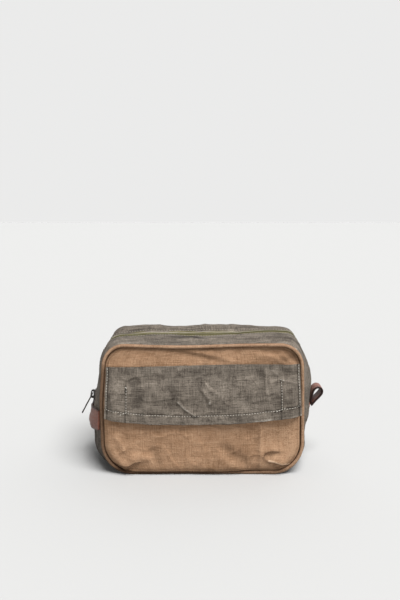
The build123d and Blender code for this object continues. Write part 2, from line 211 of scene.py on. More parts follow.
def gusset_point(i, y, inset=0.0):
    """A point on the gusset: ring place i, depth y from mid depth; inset moves it inwards."""
    v = min(1, abs(y) / HALF_DEPTH)
    share = 1 - v ** 2.1
    seam, mid = SEAM_RING[i], MID_RING[i]
    x = mix(seam.x, mid.x, share)
    z = mix(seam_height(seam.x, seam.y, y), mid.y, share)
    n = SEAM_NORMALS[i].lerp(MID_NORMALS[i], share).normalized()
    up = smooth(0.5, 0.95, n.y)
    down = smooth(-0.5, -0.98, n.y)
    aside = smooth(0.5, 0.85, abs(n.x)) * share
    # the top puffs up between the zipper and each seam, most behind the zipper
    off_zip = min(max((abs(y) - TAPE_HALF) / (HALF_DEPTH - TAPE_HALF), 0), 1)
    back_puff = mix(6.9, 3.6, smooth(50, 100, x)) + 0.8 * bump(x, 16, 30) + 1.4 * bump(x, -85, 22)
    puff = math.sin(math.pi * off_zip ** 0.8) * mix(1.2, 2.4 if y < 0 else back_puff, up) * (1 - down)
    # its middle line rises towards the right end and falls off at the left one
    crown = 4.4 * bump(x, 92, 42) * (1 if y < 0 else smooth(0.4, 0, v)) - 2.4 * smooth(-60, -118, x)
    crown = up * share * (crown - 0.8)
    # the right end bulges high up and tucks in below the loop; the left one keeps the slider's run straight
    if x > 0:
        tucked = 4.2 * smooth(62, 52, z) * smooth(22, 44, z)
        bulge = aside * (3.6 * bump(z, 128, 20) + 1.6 * bump(z, 68, 9) - tucked)
    else:
        run_x = LEFT_RUN_X - (mid.y - LEFT_RUN_Z) * LEFT_RUN_SLOPE
        bulge = aside * (run_x + mid.x) * smooth(62, 73, z) * smooth(158, 134, z)
    # uneven cloth and puckers, held flat by the seams, the floor, the zipper and the strap
    wave = fbm(x, y, z, 52) * 1.9 + ridge(x, y * 0.7 + 31, z, 40) * 1.0
    wave += up * 1.2 * fbm(x * 0.3, y * 1.5, 9, 20)
    under_strap = 1 - 0.8 * aside * bump(z, 56, 22) * (x < 0)
    quiet = smooth(1.0, 0.9, v) * smooth(0, 6, z) * (1 - 0.85 * bump(y, 0, 9)) * under_strap
    pucker = 4.2 * math.sin(i * 1.9 + fbm(x, y, z, 30) * 3) * smooth(0.8, 0.97, v) * (1 - v)
    move = puff + crown + bulge + (wave + pucker) * quiet * (1 - down) - inset
    p = Vector((x + n.x * move, y, z + n.y * move))
    p.z = max(p.z, 0.15 + inset)
    return p


# --- materials --------------------------------------------
def new_material(name, roughness, metallic=0.0, specular=0.5):
    mat = bpy.data.materials.new(name)
    mat.use_nodes = True
    tree = mat.node_tree
    shader = tree.nodes["Principled BSDF"]
    shader.inputs["Roughness"].default_value = roughness
    shader.inputs["Metallic"].default_value = metallic
    shader.inputs["Specular IOR Level"].default_value = specular
    return mat, tree, shader


def node(tree, kind, **values):
    made = tree.nodes.new(kind)
    for key, value in values.items():
        if hasattr(made, key):
            setattr(made, key, value)
        else:
            made.inputs[key.replace("_", " ")].default_value = value
    return made


def scaled(tree, vector, scale):
    made = node(tree, "ShaderNodeVectorMath", operation="MULTIPLY")
    made.inputs[1].default_value = scale
    tree.links.new(vector, made.inputs[0])
    return made.outputs[0]


def feed(tree, socket, value):
    """Gives a socket another node's output, a colour or a number."""
    if isinstance(value, bpy.types.NodeSocket):
        tree.links.new(value, socket)
    elif isinstance(value, tuple):
        socket.default_value = (*value, 1)
    else:
        socket.default_value = value


def stretched(tree, source, low, high, at_low=0.0, at_high=1.0):
    """The source's stretch from low to high made to run from at_low to at_high."""
    made = node(tree, "ShaderNodeMapRange", clamp=True)
    names = ("Value", "From Min", "From Max", "To Min", "To Max")
    for name, value in zip(names, (source, low, high, at_low, at_high)):
        feed(tree, made.inputs[name], value)
    return made.outputs["Result"]


def noise_map(tree, vector, scale, low, high, detail, rough):
    """Noise at a scale per metre, stretched to run from 0 to 1 between low and high."""
    made = node(tree, "ShaderNodeTexNoise", Scale=scale, Detail=detail, Roughness=rough)
    tree.links.new(vector, made.inputs["Vector"])
    return stretched(tree, made.outputs["Fac"], low, high)


def math_node(tree, operation, a, b):
    made = node(tree, "ShaderNodeMath", operation=operation)
    for socket, value in zip(made.inputs, (a, b)):
        feed(tree, socket, value)
    return made.outputs[0]


def colour_mix(tree, factor, a, b):
    made = tree.nodes.new("ShaderNodeMix")
    made.data_type = "RGBA"
    for place_in, value in ((0, factor), (6, a), (7, b)):
        feed(tree, made.inputs[place_in], value)
    return made.outputs[2]


def tinted(tree, colour, mask, amount, toward):
    """The colour moved toward another one, by up to amount where the mask is 1."""
    return colour_mix(tree, math_node(tree, "MULTIPLY", mask, amount), colour, toward)


def painted(tree, name):
    """What the mesh attribute of this name says at each point, 0 to 1."""
    return node(tree, "ShaderNodeAttribute", attribute_name=name).outputs["Fac"]


def bump_chain(tree, shader, layers):
    """Stacks bump layers of (height socket, distance in metres, strength)."""
    previous = None
    for height, distance, strength in layers:
        made = node(tree, "ShaderNodeBump", Distance=distance, Strength=strength)
        tree.links.new(height, made.inputs["Height"])
        if previous:
            tree.links.new(previous, made.inputs["Normal"])
        previous = made.outputs["Normal"]
    tree.links.new(previous, shader.inputs["Normal"])


def cloth_vector(tree):
    """The cloth's own coordinates in metres: along the warp, along the weft."""
    return node(tree, "ShaderNodeUVMap", uv_map="cloth").outputs["UV"]


CANVAS_THREADS = 1150        # per metre
FINE_THREADS = 1700


def weave_height(tree, vector, threads):
    """A plain weave of so many threads per metre: over-and-under crowns, 0 to 1."""
    split = tree.nodes.new("ShaderNodeSeparateXYZ")
    tree.links.new(vector, split.inputs[0])
    waves = []
    for axis in (0, 1):
        turned = math_node(tree, "MULTIPLY", split.outputs[axis], threads * math.pi)
        waves.append(math_node(tree, "SINE", turned, 0))
    over = math_node(tree, "MULTIPLY", waves[0], waves[1])
    return math_node(tree, "MULTIPLY_ADD", over, 0.5)


def slubs(tree, uv, stretch, scales, limits, amount):
    """Thick and thin threads both ways: noise drawn out along the warp and along the weft."""
    both = []
    for along, scale in zip(((1, stretch, 1), (stretch, 1, 1)), scales):
        threads = noise_map(tree, scaled(tree, uv, along), scale, *limits, 3, 0.65)
        both.append(math_node(tree, "MULTIPLY", threads, amount))
    return math_node(tree, "ADD", *both)


def canvas(name, deep, base, pale, chalk_and_highlight, grain, streak=0.12):
    """Waxed canvas: weave, slubs both ways, cloudy wax, rubbed ridges and painted highlights that go pale,
    then chalky, and painted shade and dirt that go dark.
    """
    mat, tree, shader = new_material(name, 0.82, specular=0.12)
    uv = cloth_vector(tree)
    cloud = noise_map(tree, uv, 24, 0.34, 0.66, 5, 0.62)
    patch = noise_map(tree, uv, 95, 0.38, 0.62, 6, 0.75)
    fleck = noise_map(tree, uv, 620, 0.40, 0.70, 2, 0.6)
    worn_and_highlit = painted(tree, "wear")
    gritty = math_node(tree, "ADD", fleck, math_node(tree, "MULTIPLY", patch, 0.6))
    broken = math_node(tree, "MULTIPLY", worn_and_highlit, gritty)
    light = slubs(tree, uv, 18, (45, 47), (0.47, 0.68), 0.34 * grain)
    dark = slubs(tree, uv, 14, (52, 55), (0.50, 0.70), 0.4 * grain)
    colour = colour_mix(tree, cloud, deep, base)
    colour = tinted(tree, colour, patch, 0.30 * grain, pale)
    faded = noise_map(tree, scaled(tree, uv, (1, 6, 1)), 34, 0.44, 0.60, 4, 0.7)
    stained = noise_map(tree, scaled(tree, uv, (1, 5, 1)), 29, 0.46, 0.62, 4, 0.7)
    colour = tinted(tree, colour, faded, streak, pale)
    colour = tinted(tree, colour, stained, 1.5 * streak, deep)
    colour = colour_mix(tree, light, colour, pale)
    colour = tinted(tree, colour, fleck, 0.27 * grain, pale)
    colour = colour_mix(tree, dark, colour, deep)
    # Wear and painted highlights: pale where the attribute is set, chalky where it is high.
    colour = colour_mix(tree, math_node(tree, "MINIMUM", broken, 0.9), colour, pale)
    colour = colour_mix(tree, stretched(tree, worn_and_highlit, 0.7, 1, 0, 0.85), colour, chalk_and_highlight)
    # Painted shade and dirt: where this attribute is set, the cloth darkens toward a deep tone.
    shade = tuple(channel * 0.3 for channel in deep)
    colour = colour_mix(tree, math_node(tree, "MINIMUM", painted(tree, "grime"), 0.92), colour, shade)
    tree.links.new(colour, shader.inputs["Base Color"])
    threads_up = math_node(tree, "SUBTRACT", light, dark)
    weave = weave_height(tree, uv, CANVAS_THREADS)
    bump_chain(tree, shader, [(patch, 0.0008, 0.5), (threads_up, 0.0006, 0.8), (weave, 0.00025, 0.7)])
    return mat


def leather(name, deep, base, pale):
    """Oiled leather: pebbled grain, darker burnished edges where wear is set, faint mottling."""
    mat, tree, shader = new_material(name, 0.5, specular=0.22)
    where = node(tree, "ShaderNodeTexCoord").outputs["Object"]
    mottle = noise_map(tree, where, 60, 0.35, 0.68, 5, 0.65)
    cell = node(tree, "ShaderNodeTexVoronoi", feature="DISTANCE_TO_EDGE", Scale=1100.0)
    tree.links.new(where, cell.inputs["Vector"])
    grain = math_node(tree, "MINIMUM", math_node(tree, "MULTIPLY", cell.outputs["Distance"], 4), 1)
    crackle = noise_map(tree, where, 420, 0.4, 0.7, 3, 0.6)
    colour = colour_mix(tree, mottle, base, pale)
    colour = tinted(tree, colour, crackle, 0.4, deep)
    colour = tinted(tree, colour, painted(tree, "wear"), 0.92, deep)
    tree.links.new(colour, shader.inputs["Base Color"])
    bump_chain(tree, shader, [(mottle, 0.0005, 0.3), (crackle, 0.0003, 0.4), (grain, 0.0002, 0.5)])
    return mat


def plain_weave(name, deep, pale, roughness):
    """Finer cloth or tape: a fine weave and soft mottling."""
    mat, tree, shader = new_material(name, roughness, specular=0.2)
    uv = cloth_vector(tree)
    cloud = noise_map(tree, uv, 120, 0.35, 0.7, 4, 0.6)
    weave = weave_height(tree, uv, FINE_THREADS)
    colour = colour_mix(tree, cloud, deep, pale)
    colour = tinted(tree, colour, weave, 0.3, deep)
    tree.links.new(colour, shader.inputs["Base Color"])
    bump_chain(tree, shader, [(cloud, 0.0003, 0.3), (weave, 0.0002, 0.6)])
    return mat


def solid_finish(name, deep, pale, roughness, metallic, scale=300):
    """Metal, nylon or board: fine mottling in colour, and small dents in the bump."""
    mat, tree, shader = new_material(name, roughness, metallic)
    where = node(tree, "ShaderNodeTexCoord").outputs["Object"]
    mottle = noise_map(tree, where, scale, 0.35, 0.7, 5, 0.65)
    scratch = noise_map(tree, scaled(tree, where, (1, 1, 6)), scale * 3, 0.5, 0.75, 2, 0.5)
    colour = colour_mix(tree, mottle, deep, pale)
    tree.links.new(colour, shader.inputs["Base Color"])
    rough = math_node(tree, "MULTIPLY_ADD", mottle, 0.25)
    rough.node.inputs[2].default_value = roughness - 0.1
    tree.links.new(rough, shader.inputs["Roughness"])
    bump_chain(tree, shader, [(mottle, 0.0001, 0.4), (scratch, 0.00005, 0.5)])
    return mat


TAN = canvas("tan_canvas", (0.163, 0.085, 0.042), (0.308, 0.178, 0.102), (0.46, 0.294, 0.182),
             (0.66, 0.47, 0.32), grain=1.1)
PIPE_TAN = canvas("tan_piping", (0.13, 0.065, 0.032), (0.235, 0.135, 0.078), (0.42, 0.275, 0.178),
                  (0.55, 0.39, 0.27), grain=0.7)
GREY = canvas("grey_canvas", (0.026, 0.0195, 0.0150), (0.069, 0.0550, 0.0435), (0.275, 0.235, 0.192),
              (0.50, 0.46, 0.40), grain=1.2, streak=0.28)
TAPE = plain_weave("zipper_tape", (0.088, 0.076, 0.033), (0.155, 0.136, 0.068), 0.75)
LINING = plain_weave("lining", (0.13, 0.105, 0.08), (0.20, 0.165, 0.13), 0.8)
BINDING = plain_weave("binding", (0.05, 0.042, 0.035), (0.09, 0.075, 0.06), 0.8)
COIL = solid_finish("zipper_coil", (0.080, 0.071, 0.026), (0.145, 0.131, 0.052), 0.45, 0.0)
METAL = solid_finish("dark_metal", (0.022, 0.020, 0.019), (0.075, 0.066, 0.058), 0.40, 0.6)
BOARD = solid_finish("board", (0.045, 0.04, 0.035), (0.07, 0.062, 0.055), 0.6, 0.0)
THREAD = solid_finish("thread", (0.30, 0.275, 0.235), (0.52, 0.49, 0.43), 0.7, 0.0, 900)
ZIP_THREAD = solid_finish("zip_thread", (0.17, 0.15, 0.12), (0.33, 0.30, 0.245), 0.7, 0.0, 900)
LEATHER = leather("leather", (0.010, 0.005, 0.005), (0.140, 0.049, 0.033), (0.215, 0.084, 0.055))


# --- mesh building ----------------------------------------
def linked(name, data):
    """A new object round its data, in the scene."""
    obj = bpy.data.objects.new(name, data)
    bpy.context.scene.collection.objects.link(obj)
    return obj


def fill_mesh(mesh, bm):
    """Moves the working mesh into the stored one, smooth all over."""
    bm.to_mesh(mesh)
    bm.free()
    mesh.polygons.foreach_set("use_smooth", [True] * len(mesh.polygons))


def object_from(name, bm, mat):
    mesh = bpy.data.meshes.new(name)
    fill_mesh(mesh, bm)
    mesh.materials.append(mat)
    return linked(name, mesh)


def welded(obj, capped):
    """Joins the meeting edges of a swept tube, and closes its ends if it has them."""
    bm = bmesh.new()
    bm.from_mesh(obj.data)
    bmesh.ops.remove_doubles(bm, verts=bm.verts, dist=1e-7)
    if capped:
        bmesh.ops.holes_fill(bm, edges=[e for e in bm.edges if e.is_boundary])
    bmesh.ops.recalc_face_normals(bm, faces=bm.faces)
    fill_mesh(obj.data, bm)
    return obj


BEAD_SIDES = 6


def bead(bm, sections):
    """A closed little tube; each section is its middle, its two directions and its radius, in mm."""
    rings = []
    for middle, across, up, r in sections:
        ring = []
        for a in (TAU * s / BEAD_SIDES for s in range(BEAD_SIDES)):
            ring.append(bm.verts.new((middle + across * (r * math.cos(a)) + up * (r * math.sin(a))) * MM))
        rings.append(ring)
    for near, far in zip(rings, rings[1:]):
        for s in range(BEAD_SIDES):
            after = (s + 1) % BEAD_SIDES
            bm.faces.new([near[s], near[after], far[after], far[s]])
    bm.faces.new(rings[0][::-1])
    bm.faces.new(rings[-1])


CUT_ANGLE = 0.9              # radians between two faces that meet in a cut edge


def sharpen(bm):
    """Keeps cut edges crisp while the faces on each side stay smooth."""
    for edge in bm.edges:
        edge.smooth = len(edge.link_faces) != 2 or edge.calc_face_angle(0) < CUT_ANGLE


def settle(obj):
    """Turns the modifiers' result into the mesh itself, with its cut edges kept crisp."""
    made = bpy.data.meshes.new_from_object(obj.evaluated_get(DG()), depsgraph=DG())
    obj.modifiers.clear()
    bm = bmesh.new()
    bm.from_mesh(made)
    sharpen(bm)
    bm.to_mesh(made)
    bm.free()
    obj.data = made
    return obj


def place(obj, body, nodes=(), hinge=None):
    """Fixes a finished piece to its body; given a hinge, it bakes its placement into the mesh and leaves it
    unparented.
    """
    if hinge:
        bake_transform(obj)
    else:
        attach(obj, body)
    if nodes:
        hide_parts(*nodes)
    return obj


def cloth(name, rows, mat, thickness, wear=None, grime=None, closed=False, flip=False, offset=(0, 0)):
    """A sheet through rows of points in mm, with cloth coordinates, made thickness mm thick inwards.

    The wear and painted highlight, and the dirt and painted shade, come from functions of a point and its
    row's number: how pale and how dark the cloth is painted there."""
    bm = bmesh.new()
    uv_layer = bm.loops.layers.uv.new("cloth")
    shades = [(bm.verts.layers.float.new("wear"), wear), (bm.verts.layers.float.new("grime"), grime)]
    grid = [[bm.verts.new(p * MM) for p in row] for row in rows]
    across, along = [0.0], [0.0]
    middle = rows[len(rows) // 2]
    for a, b in zip(middle, middle[1:]):
        across.append(across[-1] + (b - a).length * MM)
    across.append(across[-1] + (middle[0] - middle[-1]).length * MM)
    half = len(rows[0]) // 2
    for a, b in zip(rows, rows[1:]):
        along.append(along[-1] + (b[half] - a[half]).length * MM)
    for layer, amount in shades:
        if amount is None:
            continue
        for i, row in enumerate(grid):
            for j, vert in enumerate(row):
                vert[layer] = min(1, max(0, amount(rows[i][j], i)))
    columns = len(rows[0])
    for i in range(len(rows) - 1):
        for j in range(columns if closed else columns - 1):
            k = (j + 1) % columns
            corners = [(i, j, j), (i, k, j + 1), (i + 1, k, j + 1), (i + 1, j, j)]
            if flip:
                corners.reverse()
            face = bm.faces.new([grid[a][b] for a, b, _ in corners])
            for loop, (a, _, c) in zip(face.loops, corners):
                loop[uv_layer].uv = (across[c] + offset[0], along[a] + offset[1])
    obj = object_from(name, bm, mat)
    if thickness:
        solid = obj.modifiers.new("thickness", "SOLIDIFY")
        solid.thickness = thickness * MM
        solid.offset = -1
        solid.use_even_offset = True
        settle(obj)
    return obj


def tube(name, path, out, side, radius, mat, steps=14, squash=1.0, wear=None, grime=None):
    """A closed ring of tube along path points in mm; out and side give each section's two directions."""
    rows = []
    for j in range(steps):
        a = TAU * j / steps
        rows.append([
            p + out[i] * (math.cos(a) * radius(i)) + side[i] * (math.sin(a) * radius(i) * squash)
            for i, p in enumerate(path)
        ])
    rows.append(rows[0])
    obj = cloth(name, rows, mat, 0, wear=wear, closed=True, offset=(0.31, 0.17), grime=grime)
    return welded(obj, capped=False)


def resample(path, pitch):
    """Places and directions every pitch mm along a line of (point, normal)."""
    found = []
    left = pitch / 2
    for (a, na), (b, nb) in zip(path, path[1:]):
        length = (b - a).length
        while left < length:
            t = left / length
            found.append((a.lerp(b, t), (b - a).normalized(), na.lerp(nb, t).normalized()))
            left += pitch
        left -= length
    return found


THREAD_R = 0.42
THREAD_LIFT = 0.16           # the middle of each stitch over the cloth


def stitches(name, paths, mat, pitch=3.6, length=2.5):
    """A run of thread stitches along each path: short bowed capsules whose ends dive into the cloth."""
    bm = bmesh.new()
    for path in paths:
        for centre, along, normal in resample(path, pitch):
            side = along.cross(normal).normalized()
            skew = side * random.uniform(-0.12, 0.12)
            sections = []
            for t in (k / 5 * 2 - 1 for k in range(6)):
                r = THREAD_R * math.sqrt(max(0.06, 1 - abs(t) ** 3))
                middle = centre + (along + skew) * (t * length / 2)
                middle += normal * (THREAD_LIFT - 0.35 * t * t)
                sections.append((middle, normal, side, r))
            bead(bm, sections)
    bmesh.ops.recalc_face_normals(bm, faces=bm.faces)
    return object_from(name, bm, mat)


# --- gusset: one wrapped shell in three sewn lengths ------
MOUTH = ("shell", "mouth_back", (0, 0, 0.078), (0, 0, 0.150))


def even_steps(start, end, step=2.6):
    count = max(2, round(abs(end - start) / step))
    return [mix(start, end, k / count) for k in range(count + 1)]


def outer_face(i):
    """How far in from the gusset's outer face a sheet lies at ring place i: not at all."""
    return 0.0


def gusset_sheet(name, ring_places, depths, mat, thickness, inset=outer_face, **finish):
    rows = [[gusset_point(i, y, inset(i)) for i in ring_places] for y in depths]
    return cloth(name, rows, mat, thickness, flip=True, **finish)


def back_half(cad_node):
    """The nodes that a back half is cut into, because its ends stay with the shell."""
    return [cad_node, cad_node + "_left_end", cad_node + "_right_end"]


def gusset_wear(at_zipper):
    """Rubbed cloth: along the seams, at the folded zipper edge, on ridges and the top corners, and a
    painted highlight on the back's folded edge beside the zipper, on top.
    """
    def wear(p, row):
        speckle = max(0, fbm(p.x, p.y, p.z, 9))
        rubbed = mix(1.1, 2.2, smooth(110, 122, p.x) * smooth(80, 100, p.z))
        seam = smooth(HALF_DEPTH - 3, HALF_DEPTH, abs(p.y)) * (0.2 + rubbed * speckle)
        edge = 0.45 * at_zipper * bump(abs(p.y), FABRIC_EDGE, 1.2)
        scuff = 0.3 * ridge(p.x, p.y + 5, p.z, 21) + 0.45 * max(0, fbm(p.x, p.y, p.z, 34))
        fine = max(0, fbm(p.x, p.y, p.z + 20, 4.5))
        corner = 1.2 * fine * smooth(100, 118, abs(p.x)) * smooth(136, 154, p.z)
        corner *= smooth(50, 59, abs(p.y))
        top = smooth(140, 156, p.z) * (p.y < 0)
        streak = 0.75 * top * max(0, fbm(p.x * 0.4, p.y * 2.4, p.z, 15))
        # Painted highlight on the back gusset's folded edge beside the zipper, on top.
        lip_shading = 0.9 * at_zipper * (p.y > 0) * bump(p.y, FABRIC_EDGE, 1.6) * smooth(130, 150, p.z)
        return seam + edge + scuff * 0.6 + corner + streak + lip_shading
    return wear


def gusset_grime(p, row):
    """Darker cloth: a dark line beside the zipper's stitches, painted shade in the seams, low down, at the
    lower left end and under the folded edge at the zipper, and dirt in soft clouds and streaks on top.
    """
    stitched = 0.5 * bump(abs(p.y), 12.6, 0.9) * (p.z > ZIP_END_Z)
    # Painted shade where the gusset tucks under the piping.
    seam = 0.8 * smooth(HALF_DEPTH, HALF_DEPTH + 1.5, abs(p.y))
    # Painted shade: darker low down and at the lower left end.
    low = 0.3 * smooth(50, 8, p.z) + 0.25 * smooth(-112, -128, p.x) * smooth(64, 44, p.z)
    cloud = 0.5 * max(0, fbm(p.x * 0.6, p.y * 1.4, p.z, 26))
    top = smooth(140, 156, p.z)
    streak = (0.75 if p.y < 0 else 0.4) * top * max(0, fbm(p.x * 0.35, p.y * 2.2, p.z + 40, 14))
    # Painted shadow under the front gusset's folded edge at the zipper, on top.
    lip_shading = 0.5 * bump(p.y, -FABRIC_EDGE, 1.6) * smooth(130, 150, p.z)
    return stitched + seam + low + cloud + streak + lip_shading


SEAM_EDGE = 62.3             # the gusset's sewn edge, against the piping
GUSSET_PARTS = [
    # piece, CAD node, ring places, first and last depth, cloth offset, hinge
    ("lower", "bottom_gusset", LOW_RANGE, (-SEAM_EDGE, SEAM_EDGE), (0.1, 0.4), None),
    ("front", "zip_gusset_front", ZIP_RANGE, (-SEAM_EDGE, -FABRIC_EDGE), (0.7, 0.2), None),
    ("back", "zip_gusset_back", ZIP_RANGE, (FABRIC_EDGE, SEAM_EDGE), (1.9, 0.6), MOUTH),
]
for part, cad_node, places, ends, offset, hinge in GUSSET_PARTS:
    sheet = gusset_sheet("gusset_" + part, places, even_steps(*ends), GREY, CANVAS_T, grime=gusset_grime,
                         wear=gusset_wear(places is ZIP_RANGE), offset=offset)
    place(sheet, "shell", [cad_node], hinge)

LINING_IN = 2.4
LINING_PARTS = [
    ("low", "lower", LOW_RANGE, (-HALF_DEPTH, HALF_DEPTH), None),
    ("fore", "front", ZIP_RANGE, (-HALF_DEPTH, -FABRIC_EDGE), None),
    ("aft", "back", ZIP_RANGE, (FABRIC_EDGE, HALF_DEPTH), MOUTH),
]
for part, cad_part, places, ends, hinge in LINING_PARTS:
    sheet = gusset_sheet("lining_gusset_" + part, places, even_steps(*ends), LINING, LINING_T,
                         lambda i: LINING_IN)
    place(sheet, "shell", ["lining_gusset_" + cad_part], hinge)


# --- zipper -----------------------------------------------
TAPE_SINK = 0.9              # how deep the tape lies on the bag's ends, where the slider needs the room
TAPE_SINK_TOP = 0.1          # and on the top
TAPE_INNER, TAPE_OUTER = 1.3, 11.6
EDGE_STITCH = 11.2           # the stitches beside the zipper, from mid depth
COIL_PITCH = 1.6


def tape_sink(i):
    return mix(TAPE_SINK, TAPE_SINK_TOP, smooth(0.6, 0.95, MID_NORMALS[i].y))


fore_depths = even_steps(-TAPE_OUTER, -TAPE_INNER, 1.2)
aft_depths = even_steps(TAPE_INNER, TAPE_OUTER, 1.2)
tape_front = gusset_sheet("zip_tape_fore", ZIP_RANGE, fore_depths, TAPE, TAPE_T, tape_sink)
place(tape_front, "shell", ["zipper_tape_front"])
tape_back = gusset_sheet("zip_tape_aft", ZIP_RANGE, aft_depths, TAPE, TAPE_T, tape_sink)
place(tape_back, None, back_half("zipper_tape_back"), MOUTH)


def zip_line(y, inset=outer_face):
    """The zipper's line at depth y, as (point, outward normal) from right to left."""
    line = []
    for i in ZIP_RANGE:
        n = MID_NORMALS[i]
        line.append((gusset_point(i, y, inset(i)), Vector((n.x, 0, n.y))))
    return line


def coil(name, side):
    """One side's coil: a row of flattened nylon loops with their heads past the middle."""
    bm = bmesh.new()
    line = zip_line(0, tape_sink)
    (first, normal), (second, _) = line[:2]
    start = 0.0 if side < 0 else COIL_PITCH / 2
    line[0] = (first + (second - first) * (start / (second - first).length), normal)
    for centre, along, normal in resample(line, COIL_PITCH):
        sections = []
        for t in (k / 6 for k in range(7)):
            y = side * mix(3.0, -0.75, t)
            rise = 0.85 * math.sin(math.pi * min(1, 0.12 + t * 0.95)) + 0.25
            r = 0.36 + 0.22 * smooth(0.75, 0.95, t)
            sections.append((Vector((centre.x, y, centre.z)) + normal * rise, along, normal, r))
        bead(bm, sections)
    bmesh.ops.recalc_face_normals(bm, faces=bm.faces)
    return object_from(name, bm, COIL)


place(coil("zip_coil_fore", -1), "shell", ["zipper_coil_front"])
place(coil("zip_coil_aft", 1), None, back_half("zipper_coil_back"), MOUTH)
fore_thread = stitches("zip_stitches_fore", [zip_line(-EDGE_STITCH)], ZIP_THREAD)
place(fore_thread, "shell")
aft_thread = stitches("zip_stitches_aft", [zip_line(EDGE_STITCH)], ZIP_THREAD)
place(aft_thread, None, (), MOUTH)


# --- flat panels, rounded like the seam -------------------
def panel_rows(bottom, top, r_low, r_high, step):
    """Heights that follow the corner arcs closely and the straight sides evenly."""
    turn = round(2 * step)
    low = [bottom + r_low * (1 - math.cos(math.radians(a))) for a in range(0, 86, turn)] if r_low else []
    high = [top - r_high * (1 - math.cos(math.radians(a))) for a in range(84, -1, -turn)] if r_high else []
    start, end = bottom + r_low, top - r_high
    count = round((end - start) / step)
    return low + [mix(start, end, k / count) for k in range(count + 1)] + high


def side_line(side, z):
    """How far out the seam's side runs at height z, before its corners are rounded."""
    low, middle, high = (SEAM[0], SEAM[5], SEAM[4]) if side < 0 else (SEAM[1], SEAM[2], SEAM[3])
    start, end = (low, middle) if z < middle[1] else (middle, high)
    return abs(mix(start[0], end[0], (z - start[1]) / (end[1] - start[1])))


def half_width(z, inset, side):
    """Half width of the panel outline moved in by inset, at height z, on one side."""
    r_low, r_high = SEAM_R[0] - inset, SEAM_R[3] - inset
    low, high = inset + r_low, SEAM_H - inset - r_high
    w = side_line(side, z) - inset
    if z < low:
        return w - r_low + math.sqrt(max(0, r_low ** 2 - (low - z) ** 2))
    if z > high:
        return w - r_high + math.sqrt(max(0, r_high ** 2 - (z - high) ** 2))
    return w


def edge_distance(x, z, inset, open_top=False):
    """How far inside the rounded outline a point is; an open top has no upper edge."""
    half_h = SEAM_H / 2
    r = (SEAM_R[0] if z < half_h else SEAM_R[3]) - inset
    qx = abs(x) - (side_line(x, z) - inset - r)
    qz = -1e3 if open_top and z >= half_h else abs(z - half_h) - (half_h - inset - r)
    outside = math.hypot(max(qx, 0), max(qz, 0))
    return r - outside - min(max(qx, qz), 0)


def panel(name, side, inset, surface, mat, thickness, wear=None, z_range=None, columns=110,
          shift=None, step=3.0, **finish):
    """A panel whose front is at depth side * surface(x, z); shift moves its points across the panel."""
    bottom, top = z_range or (inset, SEAM_H - inset)
    r_low = SEAM_R[0] - inset if bottom == inset else 0
    r_high = SEAM_R[3] - inset if top == SEAM_H - inset else 0
    rows = []
    for z in panel_rows(bottom, top, r_low, r_high, step):
        left, right = -half_width(z, inset, -1), half_width(z, inset, 1)
        row = []
        for x in (mix(left, right, k / columns) for k in range(columns + 1)):
            p = Vector((x, side * surface(x, z), seam_height(x, z, side)))
            row.append(p + shift(x, z) if shift else p)
        rows.append(row)
    return cloth(name, rows, mat, thickness, wear=wear, flip=side > 0, **finish)


def front_grime(p, row):
    """The front panel's painted seam shade, painted shade in its hollows, and a darkening towards the upper
    right corner.
    """
    corner = 0.24 * smooth(45, 108, p.x) * smooth(128, 142, p.z)
    return seam_grime(p, row) + corner + folded(p.x, p.z, UPPER_HOLLOW_SHADE)


def seam_grime(p, row):
    """Painted shade in the seam between the piping and the panel, and a second fine dark line further in.
    """
    d = edge_distance(p.x, p.z + p.z - seam_height(p.x, p.z, p.y), 0)
    return 0.95 * bump(d, 3.2, 0.9) + 0.4 * bump(d, 6.8, 0.8)


UPPER_CREASES = [
    (1.8, [(118, 134), (108, 141), (97, 152)], 2.0, 8),
    (1.0, [(112, 133), (100, 139), (88, 147)], 2.0, 7),
    (1.3, [(-38, 156), (-8, 150), (26, 141)], 2.4, 7),
    (1.1, [(112, 147), (92, 146), (60, 151)], 2.4, 8),
]
UPPER_FOLDS = [(1.0, [(12, 156), (4, 141)], 4), (-0.8, [(22, 154), (16, 141)], 4)]
# Painted shade in the upper panel's hollows.
UPPER_HOLLOW_SHADE = [(0.22, [(-38, 154), (-8, 148), (26, 139)], 3.5), (0.3, [(112, 146), (100, 144)], 4)]


def upper_surface(x, z):
    d = edge_distance(x, z, 0)
    puff = 1.9 * smooth(2.6, 8, d) + 0.9 * smooth(8, 30, d) - 0.6
    wrinkle = (fbm(x, 3, z, 48) * 0.9 + ridge(x, 9, z * 1.5, 30) * 0.5) * smooth(2, 14, d)
    notch = creased(x, z, UPPER_CREASES) + folded(x, z, UPPER_FOLDS)
    return PANEL_FACE + puff + (wrinkle + 1.5 * notch) * smooth(3, 9, d)


def back_surface(x, z):
    d = edge_distance(x, z, 0)
    wrinkle = (fbm(x, 80, z, 55) * 1.3 + ridge(x, 90, z * 1.4, 34) * 0.8) * smooth(2, 14, d)
    puff = 1.7 * smooth(2.6, 8, d) + 1.5 * smooth(8, 45, d) * (1 - 0.3 * smooth(0, 30, 40 - z)) - 0.6
    return PANEL_FACE + puff + wrinkle


def canvas_wear(strength, seed):
    def wear(p, row):
        broken = 0.5 * ridge(p.x, seed, p.z, 19) * max(0, 0.4 + fbm(p.x, seed, p.z, 50))
        rub = 0.5 * max(0, fbm(p.x, seed + 9, p.z, 40))
        return min(1, strength * (broken + rub))
    return wear


